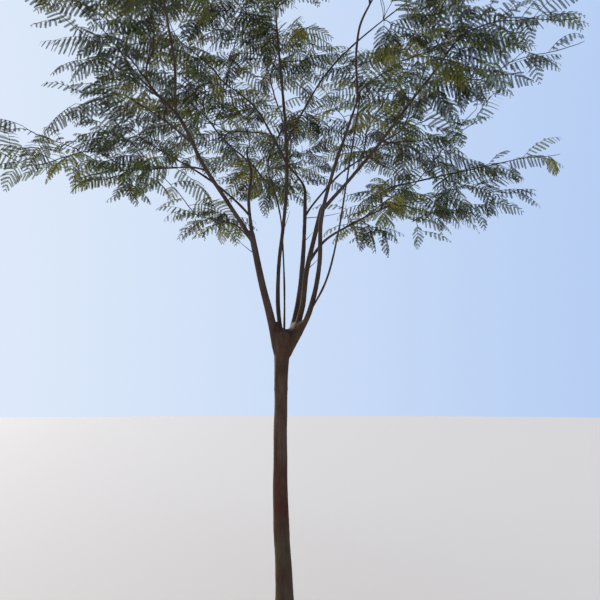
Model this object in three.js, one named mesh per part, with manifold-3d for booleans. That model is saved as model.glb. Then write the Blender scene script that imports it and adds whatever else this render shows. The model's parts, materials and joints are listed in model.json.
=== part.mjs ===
// A young flame tree. Sizes are in millimetres, +Z is up, and the foot of the trunk stands on the origin.
// A straight trunk forks at head height into steep limbs. They carry flat, feathery masses of leaves
// that spread into a wide, open crown. +X is the tree's right side and +Y is its back.
import * as THREE from "three";
import { mergeVertices } from "three/addons/utils/BufferGeometryUtils.js";
import Module from "manifold-3d";

const wasm = await Module();
wasm.setup();

// Driving dimensions
const TRUNK_WIDTH = 122; // the bare trunk, a little above its root flare
const FORK_HEIGHT = 2200; // where the trunk divides
const FORK_WIDTH = 215; // across the divided top of the trunk, from left to right
const FORK_DEPTH = 140; // the same from front to back
const CLEARANCE = 0.3; // between solids that meet
const TRUNK_SIDES = 12;
const LIMB_STEP = 360; // between the rings of a limb
const FEWEST_STEPS = 4;
const STOUT = 30; // a limb thicker than this has more sides
const STOUT_SIDES = 7;
const THIN_SIDES = 5;
const COLLAR_SWELL = 0.3; // how much wider a limb is at its very base
const COLLAR_REACH = 1.6; // the length of that swelling, in limb thicknesses

// Leaf masses: how uneven they are
const LUMPS = 10;
const LUMP_SWELL = 0.26;
const LUMP_SHARPNESS = 5;
const LUMP_DENTS = 0.9; // 2 would make every lump a dent, and 0 none
const LOBE_SWELL = 0.09; // of the sprays that stand out round the edge
const FEWEST_LOBES = 3;
const MOST_LOBES = 5;
const MASS_DETAIL = 2; // how finely its surface is divided
const FLAT_UNDERSIDE = 0.78; // the lower half's depth against the upper half's

const BARK = { roughness: 0.9, metalness: 0 };
const barkMaterial = new THREE.MeshStandardMaterial({ ...BARK, color: 0x4a3c31 });
const leafMaterials = [0x4c5a33, 0x57613a, 0x465443].map(
  (color) => new THREE.MeshStandardMaterial({ color, roughness: 0.75, metalness: 0 }),
);

// A place in the tree: its heading in degrees from +X towards +Y, its reach from the trunk, and its height.
function at(heading, reach, height) {
  const angle = THREE.MathUtils.degToRad(heading);
  return new THREE.Vector3(reach * Math.cos(angle), reach * Math.sin(angle), height);
}

// Rings of the trunk from the ground up: how far each one leans along X, and its widths along X and Y.
const TRUNK_RINGS = [
  { height: 0, lean: 0, wide: 1.72 * TRUNK_WIDTH, deep: 1.66 * TRUNK_WIDTH },
  { height: 35, lean: 0, wide: 1.45 * TRUNK_WIDTH, deep: 1.42 * TRUNK_WIDTH },
  { height: 90, lean: -2, wide: 1.27 * TRUNK_WIDTH, deep: 1.25 * TRUNK_WIDTH },
  { height: 190, lean: -5, wide: 1.16 * TRUNK_WIDTH, deep: 1.15 * TRUNK_WIDTH },
  { height: 360, lean: -14, wide: 1.09 * TRUNK_WIDTH, deep: 1.08 * TRUNK_WIDTH },
  { height: 620, lean: -29, wide: 1.03 * TRUNK_WIDTH, deep: 1.03 * TRUNK_WIDTH },
  { height: 900, lean: -40, wide: TRUNK_WIDTH, deep: TRUNK_WIDTH },
  { height: 1280, lean: -43, wide: 0.98 * TRUNK_WIDTH, deep: 0.98 * TRUNK_WIDTH },
  { height: 1650, lean: -40, wide: 0.99 * TRUNK_WIDTH, deep: 0.98 * TRUNK_WIDTH },
  { height: 1880, lean: -38, wide: 1.06 * TRUNK_WIDTH, deep: 1.02 * TRUNK_WIDTH },
  { height: 2010, lean: -34, wide: 1.22 * TRUNK_WIDTH, deep: 1.08 * TRUNK_WIDTH },
  { height: 2110, lean: -24, wide: 0.84 * FORK_WIDTH, deep: 0.98 * FORK_DEPTH },
  { height: FORK_HEIGHT - 30, lean: -14, wide: FORK_WIDTH, deep: FORK_DEPTH },
  { height: FORK_HEIGHT + 15, lean: -12, wide: 0.93 * FORK_WIDTH, deep: 0.86 * FORK_DEPTH },
  { height: FORK_HEIGHT + 42, lean: -10, wide: 0.6 * FORK_WIDTH, deep: 0.56 * FORK_DEPTH },
];
const ROOT_BUTTRESSES = 5;
const BUTTRESS_SWELL = 0.11; // of the trunk's width, at the ground
const BUTTRESS_HEIGHT = 110;

// The crown's tiers: the length, width and depth of their leaf masses, and their upward tilt in degrees.
const TIERS = {
  skirt: { long: 1120, wide: 960, deep: 540, rise: 2 },
  waist: { long: 1360, wide: 1200, deep: 660, rise: 8 },
  shoulder: { long: 1320, wide: 1220, deep: 820, rise: 18 },
  top: { long: 1400, wide: 1300, deep: 780, rise: 14 },
};

// A mass of foliage in a tier, pointing away from the trunk, at a share of the tier's size.
function foliageMass(name, tier, middle, share = 1) {
  const { long, wide, deep, rise } = TIERS[tier];
  const heading = THREE.MathUtils.radToDeg(Math.atan2(middle.y, middle.x));
  const halves = new THREE.Vector3(long, wide, deep).multiplyScalar(share / 2);
  return { name, middle, heading, rise, halves };
}

const MASSES = [
  foliageMass("left_droop", "skirt", at(167, 680, 3240), 0.66),
  foliageMass("left_low", "skirt", at(-174, 1320, 3570), 1.08),
  foliageMass("left_tip", "skirt", at(-175, 2130, 3710)),
  foliageMass("right_low", "skirt", at(6, 1010, 3290), 1.12),
  foliageMass("right_low_tip", "skirt", at(8, 1760, 3480), 0.92),
  foliageMass("right_far", "skirt", at(13, 2290, 3950), 0.86),
  foliageMass("right_low_back", "skirt", at(47, 1680, 3800), 1.05),
  foliageMass("centre_low", "waist", at(107, 740, 3850), 0.88),
  foliageMass("left_mid", "waist", at(-163, 1450, 4090), 0.86),
  foliageMass("right_mid", "waist", at(-4, 1290, 3900), 0.9),
  foliageMass("right_tip", "waist", at(-19, 2220, 4430), 0.8),
  foliageMass("left_back", "waist", at(152, 1780, 4330), 1.05),
  foliageMass("back_left", "waist", at(122, 1920, 4660), 1.06),
  foliageMass("back", "waist", at(90, 2020, 4480), 0.9),
  foliageMass("back_right", "waist", at(52, 1880, 4560)),
  foliageMass("front_left", "waist", at(-121, 1730, 4780), 1.02),
  foliageMass("front", "waist", at(-91, 1830, 4620), 0.98),
  foliageMass("front_right", "waist", at(-60, 1730, 4740), 1.02),
  foliageMass("right_inner", "shoulder", at(-45, 850, 4080), 0.54),
  foliageMass("left_inner", "shoulder", at(150, 780, 4400), 0.86),
  foliageMass("centre_back", "shoulder", at(83, 1090, 4560), 0.9),
  foliageMass("left_high", "shoulder", at(-158, 1540, 4730)),
  foliageMass("right_high", "shoulder", at(-25, 1450, 4410), 0.94),
  foliageMass("left_upper_back", "shoulder", at(148, 1230, 4980), 0.88),
  foliageMass("right_upper_back", "shoulder", at(36, 1380, 4980), 0.86),
  foliageMass("centre_top", "shoulder", at(120, 230, 5290)),
  foliageMass("front_top", "top", at(-86, 990, 5320)),
  foliageMass("left_top", "top", at(-176, 1090, 5460), 0.96),
  foliageMass("right_top", "top", at(2, 1180, 5380)),
  foliageMass("back_top", "top", at(97, 1050, 5440)),
  foliageMass("crown_top", "top", at(130, 110, 5950), 1.08),
];

// A limb that tapers from thick to thin as it passes through its bends. It starts at a place, or at a share
// of another limb's length, and it ends at a place or in the mass that it carries.
function newLimb(name, [thick, thin], from, bends, end) {
  return { name, thick, thin, from, bends, end };
}

const LIMBS = [
  newLimb("left_limb", [70, 52], at(-165, 72, 2115), [at(-166, 205, 2600)], at(-155, 325, 3060)),
  newLimb(
    "left_bough", [40, 20], ["left_limb", 0.93],
    [at(-152, 740, 3510), at(-151, 1050, 4010)], "left_high"
  ),
  newLimb(
    "left_upright", [36, 18], ["left_limb", 0.95],
    [at(172, 340, 3420), at(136, 510, 3980)], "left_inner"
  ),
  newLimb("left_cross_bough", [22, 11], ["left_upright", 0.14], [at(163, 700, 3600)], "left_back"),
  newLimb("left_mid_bough", [20, 12], ["left_bough", 0.42], [at(-156, 1130, 3920)], "left_mid"),
  newLimb("long_left_bough", [17, 10], ["left_bough", 0.32], [at(-163, 880, 3560)], "left_low"),
  newLimb("left_droop_bough", [14, 8], ["left_limb", 0.82], [at(-162, 390, 3070)], "left_droop"),
  newLimb("front_left_bough", [24, 13], ["left_bough", 0.55], [at(-143, 1080, 4200)], "front_left"),
  newLimb(
    "centre_limb", [40, 25], at(160, 60, 2130),
    [at(132, 110, 2670), at(90, 150, 3660)], "centre_top"
  ),
  newLimb(
    "centre_shoot", [20, 10], at(110, 35, 2160),
    [at(103, 110, 2810), at(104, 340, 3440)], "centre_low"
  ),
  newLimb(
    "middle_limb", [52, 22], at(38, 58, 2140),
    [at(43, 128, 2420), at(57, 246, 2780), at(74, 600, 3600)], "centre_back"
  ),
  newLimb("back_left_bough", [20, 12], ["left_upright", 0.3], [at(121, 1160, 3860)], "back_left"),
  newLimb("back_bough", [20, 12], ["middle_limb", 0.6], [at(88, 1200, 3990)], "back"),
  newLimb("back_right_bough", [22, 12], ["middle_limb", 0.5], [at(57, 980, 3930)], "back_right"),
  newLimb(
    "right_limb", [52, 38], at(-8, 62, 2140),
    [at(-13, 140, 2420), at(-24, 170, 2620), at(-32, 275, 2975)], at(-36, 372, 3245)
  ),
  newLimb(
    "right_bough", [34, 20], ["right_limb", 0.97],
    [at(-30, 680, 3500), at(-27, 1030, 3900)], "right_high"
  ),
  newLimb("right_mid_bough", [18, 11], ["right_bough", 0.44], [at(-19, 900, 3760)], "right_mid"),
  newLimb("low_right_bough", [25, 16], ["right_limb", 0.58], [at(-4, 420, 3070)], "right_low"),
  newLimb(
    "right_upright", [50, 21], at(-22, 72, 2080),
    [at(-35, 310, 2550), at(-52, 480, 3130)], "right_inner"
  ),
  newLimb(
    "right_far_bough", [19, 11], ["right_upright", 0.6],
    [at(-10, 470, 3250), at(20, 1060, 3610)], "right_far"
  ),
  newLimb("right_back_bough", [16, 10], ["right_far_bough", 0.4], [at(34, 1150, 3640)], "right_low_back"),
  newLimb(
    "outer_shoot", [18, 10], ["right_upright", 0.1],
    [at(-40, 460, 2660), at(-47, 660, 3150)], "right_inner"
  ),
  newLimb("front_right_bough", [22, 12], ["right_upright", 0.86], [at(-62, 1180, 4330)], "front_right"),
  newLimb("left_top_bough", [20, 12], ["centre_limb", 0.52], [at(172, 420, 4500)], "left_top"),
  newLimb("right_top_bough", [20, 12], ["centre_limb", 0.58], [at(15, 400, 4650)], "right_top"),
];

// A seeded stream of numbers between 0 and 1.
function seededRandom(seed) {
  let state = seed;
  return () => {
    state = (state * 1664525 + 1013904223) % 4294967296;
    return state / 4294967296;
  };
}

// A geometry as a closed solid.
function solidOf(geometry) {
  geometry.deleteAttribute("normal");
  geometry.deleteAttribute("uv");
  const merged = mergeVertices(geometry);
  return new wasm.Manifold(
    new wasm.Mesh({
      numProp: 3,
      vertProperties: merged.attributes.position.array,
      triVerts: new Uint32Array(merged.index.array),
    }),
  );
}

// The faces that join rings of points into a closed skin, with a fan over each end.
function skinOfRings(rings) {
  const sides = rings[0].length;
  const points = rings.flat();
  const faces = [];
  for (let ring = 0; ring < rings.length - 1; ring++) {
    for (let side = 0; side < sides; side++) {
      const next = (side + 1) % sides;
      const [a, b] = [ring * sides + side, ring * sides + next];
      faces.push(a, b, b + sides, a, b + sides, a + sides);
    }
  }
  const last = (rings.length - 1) * sides;
  for (let side = 1; side < sides - 1; side++) {
    faces.push(0, side + 1, side);
    faces.push(last, last + side, last + side + 1);
  }
  return new THREE.BufferGeometry().setFromPoints(points).setIndex(faces);
}

// The trunk, with shallow buttresses that fade out above the ground. It is grown a little to cut the limbs.
function trunkSolid(grow) {
  const rings = TRUNK_RINGS.map(({ height, lean, wide, deep }) => {
    const fade = Math.exp(-height / BUTTRESS_HEIGHT);
    return Array.from({ length: TRUNK_SIDES }, (_, side) => {
      const angle = (side / TRUNK_SIDES) * 2 * Math.PI;
      const swell = 1 + BUTTRESS_SWELL * fade * Math.cos(ROOT_BUTTRESSES * angle + 1);
      return new THREE.Vector3(
        lean + ((wide / 2) * swell + grow) * Math.cos(angle),
        ((deep / 2) * swell + grow) * Math.sin(angle),
        height + (height > FORK_HEIGHT ? grow : 0),
      );
    });
  });
  return solidOf(skinOfRings(rings));
}

// The line that a limb follows.
function limbCurve({ from, bends, end }) {
  const start = Array.isArray(from) ? curves[from[0]].getPointAt(from[1]) : from;
  const carried = MASSES.find((mass) => mass.name === end);
  return new THREE.CatmullRomCurve3([start, ...bends, carried?.middle ?? end], false, "centripetal");
}
const curves = {};
for (const limb of LIMBS) curves[limb.name] = limbCurve(limb);

// A tapering round limb with a swollen collar at its base.
function limbSolid(limb, grow) {
  const curve = curves[limb.name];
  const length = curve.getLength();
  const steps = Math.max(FEWEST_STEPS, Math.round(length / LIMB_STEP));
  const sides = limb.thick > STOUT ? STOUT_SIDES : THIN_SIDES;
  const frames = curve.computeFrenetFrames(steps, false);
  const rings = [];
  for (let step = 0; step <= steps; step++) {
    const along = step / steps;
    const collar = COLLAR_SWELL * Math.exp(-(along * length) / (COLLAR_REACH * limb.thick));
    const radius = (THREE.MathUtils.lerp(limb.thick, limb.thin, along) / 2) * (1 + collar) + grow;
    const centre = curve.getPointAt(along);
    if (step === 0) centre.addScaledVector(frames.tangents[step], -grow);
    if (step === steps) centre.addScaledVector(frames.tangents[step], grow);
    rings.push(
      Array.from({ length: sides }, (_, side) => {
        const angle = (side / sides) * 2 * Math.PI;
        return centre
          .clone()
          .addScaledVector(frames.normals[step], radius * Math.cos(angle))
          .addScaledVector(frames.binormals[step], radius * Math.sin(angle));
      }),
    );
  }
  return solidOf(skinOfRings(rings));
}

// One uneven mass of leaves: a flattened ball with swellings and dents, turned along its heading and rise.
function massSolid(mass, seed, grow) {
  const random = seededRandom(seed);
  const lumps = Array.from({ length: LUMPS }, () => ({
    toward: new THREE.Vector3().setFromCylindricalCoords(1, 2 * Math.PI * random(), 2 * random() - 1),
    swell: LUMP_SWELL * (2 * random() - LUMP_DENTS),
  }));
  for (const lump of lumps) lump.toward.normalize();
  const lobes = FEWEST_LOBES + Math.floor(random() * (MOST_LOBES - FEWEST_LOBES + 1));
  const lobeTurn = 2 * Math.PI * random();
  const geometry = new THREE.IcosahedronGeometry(1, MASS_DETAIL);
  const places = geometry.attributes.position;
  const toward = new THREE.Vector3();
  for (let i = 0; i < places.count; i++) {
    toward.fromBufferAttribute(places, i).normalize();
    const round = Math.atan2(toward.y, toward.x);
    const lobe = LOBE_SWELL * (1 - Math.abs(toward.z)) * Math.cos(lobes * round + lobeTurn);
    const uneven = lumps.reduce(
      (sum, lump) => sum + lump.swell * Math.max(0, toward.dot(lump.toward)) ** LUMP_SHARPNESS,
      1 + lobe,
    );
    const place = mass.halves.clone().multiplyScalar(uneven).multiply(toward);
    if (place.z < 0) place.z *= FLAT_UNDERSIDE;
    place.addScaledVector(toward, grow);
    places.setXYZ(i, place.x, place.y, place.z);
  }
  geometry.rotateY(-THREE.MathUtils.degToRad(mass.rise));
  geometry.rotateZ(THREE.MathUtils.degToRad(mass.heading));
  geometry.translate(...mass.middle.toArray());
  return solidOf(geometry);
}

// The largest body of a cut solid.
function largestBody(solid) {
  return solid.decompose().reduce((best, body) => (body.volume() > best.volume() ? body : best));
}

// A solid less every other one that reaches into it.
function cutBack(solid, others) {
  return largestBody(others.reduce((left, other) => left.subtract(other), solid));
}

// A named mesh of a solid, with its own origin at the given place.
function meshOf(name, solid, origin, material) {
  const made = solid.getMesh();
  const geometry = new THREE.BufferGeometry();
  geometry.setAttribute("position", new THREE.BufferAttribute(made.vertProperties, made.numProp));
  geometry.setIndex(new THREE.BufferAttribute(made.triVerts, 1));
  geometry.translate(-origin.x, -origin.y, -origin.z);
  geometry.computeVertexNormals();
  const mesh = new THREE.Mesh(geometry, material);
  mesh.name = name;
  mesh.position.copy(origin);
  return mesh;
}

// Masses come first, each cut back from those before it. Limbs give way to masses, trunk and earlier limbs.
const foliage = new THREE.Group();
const massCutters = [];
MASSES.forEach((mass, index) => {
  const solid = cutBack(massSolid(mass, index + 1, 0), massCutters);
  massCutters.push(massSolid(mass, index + 1, CLEARANCE));
  foliage.add(meshOf(`${mass.name}_mass`, solid, mass.middle, leafMaterials[index % leafMaterials.length]));
});

const wood = new THREE.Group();
wood.add(meshOf("trunk", trunkSolid(0), new THREE.Vector3(), barkMaterial));
const limbCutters = [trunkSolid(CLEARANCE)];
for (const limb of LIMBS) {
  const solid = cutBack(limbSolid(limb, 0), [...limbCutters, ...massCutters]);
  limbCutters.push(limbSolid(limb, CLEARANCE));
  wood.add(meshOf(limb.name, solid, curves[limb.name].getPointAt(0), barkMaterial));
}

const tree = new THREE.Group();
tree.add(wood, foliage);

export default tree;
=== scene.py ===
import json
import math

import bmesh
import bpy
import numpy as np
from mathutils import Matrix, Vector, noise
from mathutils.bvhtree import BVHTree

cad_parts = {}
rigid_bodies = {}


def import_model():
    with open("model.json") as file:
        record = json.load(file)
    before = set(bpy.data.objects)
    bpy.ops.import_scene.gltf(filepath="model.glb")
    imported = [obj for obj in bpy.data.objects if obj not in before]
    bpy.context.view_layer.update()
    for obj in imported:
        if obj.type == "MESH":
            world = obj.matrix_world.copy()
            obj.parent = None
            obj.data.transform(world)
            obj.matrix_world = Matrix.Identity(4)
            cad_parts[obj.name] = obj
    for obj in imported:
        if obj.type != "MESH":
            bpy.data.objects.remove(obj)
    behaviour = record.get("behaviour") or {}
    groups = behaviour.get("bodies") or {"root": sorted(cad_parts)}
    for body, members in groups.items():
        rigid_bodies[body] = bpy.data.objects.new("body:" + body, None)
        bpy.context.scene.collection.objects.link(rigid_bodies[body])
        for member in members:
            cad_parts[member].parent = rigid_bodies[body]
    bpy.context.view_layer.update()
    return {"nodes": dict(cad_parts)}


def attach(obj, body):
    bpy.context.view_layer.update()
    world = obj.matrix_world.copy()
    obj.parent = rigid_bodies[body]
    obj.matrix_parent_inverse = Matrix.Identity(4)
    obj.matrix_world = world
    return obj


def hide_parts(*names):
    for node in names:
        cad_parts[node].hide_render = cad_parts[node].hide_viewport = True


# A young flame tree, in metres with +Z up. Bark, twigs and twice-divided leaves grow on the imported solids:
# the limbs give their lines and thicknesses, and the leaf masses give the crown its outline.
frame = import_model()

SEED = 23
UP = np.array([0.0, 0.0, 1.0])
GOLDEN_ANGLE = math.radians(137.5)

# The camera, which stands where the photograph was taken from
PHOTO_SIDE = 600  # pixels
VIEW_DISTANCE = 5.0
EYE_HEIGHT = 1.65
VIEW_ASIDE = 0.117
VIEW_PITCH = 9.46  # upwards, in degrees
LENS = 36
SENSOR = 36

# The floor and the light
FLOOR_RADIUS = 60
FLOOR_SIDES = 64
FLOOR_DROP = 0.002  # below the level of the ground
FLOOR_COLOR = (0.52, 0.485, 0.45)
SKY_COLORS = ((0.74, 0.83, 0.96), (0.46, 0.61, 0.90))  # to the left and to the right
SKY_SPREAD = 0.5  # how far aside these colours are full, where 1 is straight to the side
SUN_POWER = 5.0
SUN_WIDTH = 12  # degrees
SUN_COLOR = (1.0, 0.93, 0.83)
SUN_HEIGHT = 25  # degrees
SUN_WAY = (0.66, -0.75)  # over the ground

# The lines of the trunk and limbs
LINE_STEP = 0.015
RING_REACH = 0.07  # between points that belong to one ring of a limb's solid
TOUCHING = 0.001
BASE_SWELL = 1.15  # the most that a limb's first ring is wider than its second
ROOT_DEPTH = 2.2  # how far back along its parent a limb starts, in its parent's radii
ROOT_ASIDE = 0.38  # how far from the trunk's middle line its limbs start, in its radii
ROOT_BEND = 0.3  # how much a limb leans along its parent where it starts
TOWARDS_MIDDLE = (0.4, 0.6, 0.8)  # how far a limb may turn to the middle of its mass, where 0 is straight on
ENTERS_MASS = 0.05  # a limb that ends this near to a mass goes on into it
END_WIDTH = 0.55  # of a limb inside its mass, against its last ring
STUB = 0.05  # the length over which a limb closes where other limbs go on from it
STUB_CLOSING = 0.9
TRUNK_EVENING = 2  # rounds in which the trunk's corners are evened out
TRUNK_BLEND = 21  # steps over which the trunk's width changes are evened out
TRUNK_CROWN = 0.05  # the height over which the trunk rounds off between its limbs
TRUNK_CLOSING = 0.8
PAST_CUT = 0.03  # how far the trunk goes on below the ground before it is cut there

# The form of the bark
TRUNK_SIDES = 48
LIMB_SIDES = 16
SLENDER_SIDES = 10
STOUT = 0.0125  # a limb with a greater radius is blended into its fork
COLLAR_SWELL = 0.45  # how much wider a limb is where it comes out of its parent
COLLAR_REACH = 3.6  # in the limb's radii
ROOT_WIDTH = 0.45  # of a limb inside its parent
ROOT_TAPER = 4.5  # in the limb's radii
FORK_HEIGHT = 2.2  # limbs that start below this come out of the trunk
WEB_DEPTH = 0.12  # how far below the fork the bark that fills a crotch starts
WEB_TOP = 2.31
WEB_WIDTH = 0.105  # bark fills the crotch of two limbs up to where they are this far apart
WEB_SHARES = (0.25, 0.5, 0.75)  # of the way between the two limbs
WEB_THICKNESS = 1.1  # against the thinner limb
FEWEST_WEB_STEPS = 6
WEB_ROUNDING = 4  # steps over which the bark in a crotch rounds off at its top
WEB_CLOSING = 0.96
BARK_GRAIN = 0.007  # the size of the faces of the trunk and the stout limbs
BARK_SMOOTHING = 6
CROTCH_FILLING = 220  # steps in which the hollows between limbs fill with bark
FILLING_SHARE = 0.9  # of the way to even, in each of these steps
SLIM_HEIGHTS = (0.8, 1.4, 1.8, 2.16)
SLIM_BY = (0, 0.0045, 0.0045, 0)  # how deep inside the trunk's solid the bark lies at these heights
SEAM_HEIGHT = 1.74  # a faint raised ring round the trunk
SEAM_WIDTH = 0.011
SEAM_RISE = 0.0022
RELIEF_HEIGHTS = (2.0, 2.6)
RELIEF_SHARES = (1.0, 0.45)  # how strong the relief is at these heights
RELIEF = [
    ((11, 11, 4), 0.0042),  # swellings
    ((55, 55, 8), 0.0012),  # upright streaks
    ((9, 9, 75), 0.0010),  # faint rings
]

# Bark colours
BARK_TONES = ((0.040, 0.019, 0.011), (0.072, 0.038, 0.023), (0.114, 0.066, 0.044))
FOOT_COLOR = (0.060, 0.056, 0.026)
FOOT_ENDS = (0.75, 0.25)  # from none of the foot's colour to all of it
STAIN_COLOR = (0.062, 0.015, 0.008)
STAIN_STARTS = (0.62, 0.78)
STAIN_ENDS = (1.20, 1.05)
LIMB_COLOR = (0.068, 0.055, 0.045)
LIMB_HEIGHTS = (2.1, 2.9)
STREAK_COLOR = (0.030, 0.022, 0.018)
PORE_COLOR = (0.17, 0.115, 0.08)
TWIG_TONES = ((0.052, 0.038, 0.028), (0.078, 0.066, 0.044), (0.095, 0.098, 0.045))
TWIG_GRAIN_COLOR = (0.030, 0.023, 0.017)

# Branching
LOWEST_SHOOT = 2.75
SHOOTS_PER_CUBIC_METRE = 24
CHOICES_PER_SHOOT = 40
SHOOT_SPREAD = np.array([0.78, 0.78, 0.68])  # how far towards a mass's outline its shoots end
BRANCH_STEP = 0.05
TURN_COST = 1.3
DETOUR_COST = 0.22
KEPT_HEADING = 0.7  # how much a shoot starts along its parent
KEPT_WAY = 1.4  # how much a shoot ends along the straight way to its end
CURVE_REACH = 0.36
OUT_OF_MASS = 0.8  # how much a shoot turns away from its mass's middle
END_RISE = (0.15, 0.7)
WIGGLE = 0.0035
TIP_RADIUS = 0.0032
TIP_TAPER = (0.95, 0.85, 0.6)
LOAD_POWER = 1 / 2.8
TWIG_SIDES = 6

# Leafless shoots that show below the leaves: limb, height, heading and rise in degrees, length
BARE_TWIGS = [
    ("centre_limb", 3.10, 60, 58, 0.24),
    ("middle_limb", 3.08, -50, 20, 0.13),
    ("middle_limb", 3.34, -20, -4, 0.40),
    ("left_limb", 2.86, 165, 35, 0.22),
    ("right_limb", 2.72, -30, 30, 0.12),
]
BARE_TWIG_RADII = (0.0045, 0.0014)
BARE_TWIG_STEPS = 9
BARE_TWIG_BEND = 0.12

# Where leaves grow
LEAVES_PER_SHOOT = (4, 7)
LEAFY_LENGTH = 0.42  # of the end of a shoot
MOST_LEAFY = 0.9  # of a shoot
SPIRAL_UNEVEN = 0.2
LEAF_LEAN = (72, 38)  # away from the shoot, from the first leaf to the last, in degrees
LEAN_UNEVEN = 6
LIFT_KEPT = 0.5
LIFT_MORE = (-4, 14)  # degrees
ROLL_UNEVEN = 0.35
LEAF_LENGTH = (0.30, 0.55)
LENGTH_UNEVEN = (0.9, 1.0)
TRIED_LENGTHS = np.arange(0.18, LEAF_LENGTH[1], 0.06)
TRIED_DROOP = 0.9
ROOM_FILLED = 1.08
LEAST_ROOM = 0.1
GAP_MARGIN = 0.1
PAST_OUTLINE = 0.06  # how far past a mass's outline a leaf may reach
SEEN_RADIUS = 0.0105  # limbs that are thicker than this show between the leaves
SIGHT_STEP = 3
SIGHT_WIDTH = 8  # pixels
BEFORE_LIMB = 0.05
CLEARED_SHARE = 0.5  # of the leaves that would hide such a limb from the front
VIEW_CELL = 14  # pixels
VIEW_DROOP = 0.3
MOST_LAYERS = 7.7  # leaves, one behind the other as the camera sees them

# The form of a leaf
STALK_STEPS = 8
STALK_RADII = (0.0027, 0.0011)
STALK_SIDES = 3
LEAF_DROOP = (10, 55)  # degrees
DROOP_HEIGHTS = (3.2, 4.0)
DROOP_MORE = (14, 4)  # degrees, at these heights
DROOP_POWER = 1.3
LEAF_TURN = 0.35
PINNAE_FROM = 0.15  # of the stalk
PINNAE_TO = 0.99
PINNA_SPACING = 0.033
PINNA_SHARE = 0.25  # the longest pinna against the leaf
PINNA_UNEVEN = 0.06
PINNA_SPREAD = (80, 42)  # away from the stalk, from the first pair to the last, in degrees
SPREAD_UNEVEN = 3.5
PINNA_SAG = (8, 58)  # degrees
SAG_UNEVEN = 6
OUTER_SINK = 0.28  # how much the outer half of a pinna turns down
OUTER_AHEAD = 0.12
RIB_WIDTH = 0.0008
LEAFLET_SPACING = 0.0084
FIRST_LEAFLET = 0.6
FEWEST_LEAFLETS = 2
LEAFLET_REACH = 0.0108  # from the middle of a pinna to a leaflet's tip
LEAFLET_WIDTH = 0.0064
LEAFLET_TWIST = 0.35
TIP_SHRINK = 0.55  # how much smaller the leaflets are at a leaf's very end

# Leaf colours: partly real leaf tone and partly painted light. The olive and yellow-olive colours are painted
# sunlight shining through the leaves, and the deepest grey-green is partly painted shade
STALK_COLOR = (0.075, 0.070, 0.032)
LEAF_COLORS = {
    # partly painted shade: stands for leaves that lie in shade
    "deep_grey_green": (0.040, 0.048, 0.030),
    "dark_green": (0.058, 0.070, 0.020),
    "grey_green": (0.080, 0.094, 0.050),
    "mid_green": (0.108, 0.128, 0.024),
    # painted light: this and the next colour stand for sunlight shining through the leaves
    "olive": (0.180, 0.178, 0.022),
    "yellow_olive": (0.250, 0.222, 0.026),
    "light_green": (0.150, 0.190, 0.040),
}
# Painted light and shade: near the trunk more of the painted sunlit olives, at the crown's edge more of the
# painted shade greens
INNER_SHADES = np.array([0.12, 0.16, 0.09, 0.15, 0.30, 0.13, 0.05])  # the share of each near the trunk
OUTER_SHADES = np.array([0.26, 0.22, 0.19, 0.13, 0.12, 0.02, 0.06])  # and at the crown's edge
CROWN_REACH = 2.1

# Gaps where the photograph shows sky: the middle of each and its half width and height, in pixels
SKY_GAPS = np.array([
    (28, 32, 20, 15),
    (22, 98, 26, 13),
    (62, 97, 14, 8),
    (74, 24, 13, 8),
    (97, 198, 8, 16),
    (124, 222, 60, 16),
    (205, 128, 9, 8),
    (266, 246, 12, 32),
    (300, 4, 14, 12),
    (352, 14, 34, 34),
    (393, 4, 16, 18),
    (430, 122, 10, 8),
    (428, 186, 9, 6),
    (408, 228, 14, 12),
    (395, 268, 75, 14),
    (478, 140, 16, 22),
    (520, 124, 36, 20),
    (548, 46, 26, 9),
    (556, 100, 26, 12),
    (588, 85, 24, 42),
    (606, 24, 20, 50),
])

# How full each leaf mass is, where it differs from the rest
FULLNESS = {
    "back": 2.2, "back_left": 1.5, "back_right": 1.35, "back_top": 1.2,
    "centre_back": 1.25, "centre_low": 4.0, "centre_top": 0.8, "crown_top": 1.3,
    "front": 1.5, "front_right": 1.3, "front_top": 1.5,
    "left_back": 0.75, "left_droop": 4.0, "left_inner": 1.4, "left_low": 1.6,
    "left_mid": 0.85, "left_tip": 0.6, "left_top": 1.15, "left_upper_back": 1.5,
    "right_far": 0.6, "right_high": 1.45, "right_inner": 2.2, "right_low": 1.9, "right_low_back": 1.5,
    "right_low_tip": 0.9, "right_mid": 1.1, "right_tip": 0.85, "right_top": 0.6,
}


# Directions and lines

def unit(vectors):
    """Vectors, along the last axis, at a length of 1."""
    return vectors / np.linalg.norm(vectors, axis=-1, keepdims=True)


def lerp(start, end, share):
    return start + (end - start) * share


def direction_of(heading, lift):
    """The direction with a heading and a lift, or one for each of many."""
    return np.stack([np.cos(lift) * np.cos(heading), np.cos(lift) * np.sin(heading), np.sin(lift)], axis=-1)


def directions_along(path):
    return unit(np.gradient(path, axis=0))


def distances_along(path):
    """How far along a path each of its points is."""
    steps = np.linalg.norm(np.diff(path, axis=0), axis=1)
    return np.concatenate([[0], np.cumsum(steps)])


def rows_at(places, knots, rows):
    """Rows of values at some places, from the rows at the knots."""
    return np.column_stack([np.interp(places, knots, column) for column in rows.T])


def smooth_through(knots, values, places, first_slope=None):
    """Values at some places along a smooth line that passes through the values at the knots."""
    slopes = np.gradient(values, knots, axis=0)
    if first_slope is not None:
        slopes[0, :3] = first_slope
    spans = np.clip(np.searchsorted(knots, places, side="right") - 1, 0, len(knots) - 2)
    widths = (knots[spans + 1] - knots[spans])[:, None]
    t = (places - knots[spans])[:, None] / widths
    first, last = values[spans], values[spans + 1]
    return (
        first * (2 * t**3 - 3 * t**2 + 1)
        + slopes[spans] * widths * (t**3 - 2 * t**2 + t)
        + last * (3 * t**2 - 2 * t**3)
        + slopes[spans + 1] * widths * (t**3 - t**2)
    )


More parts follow.
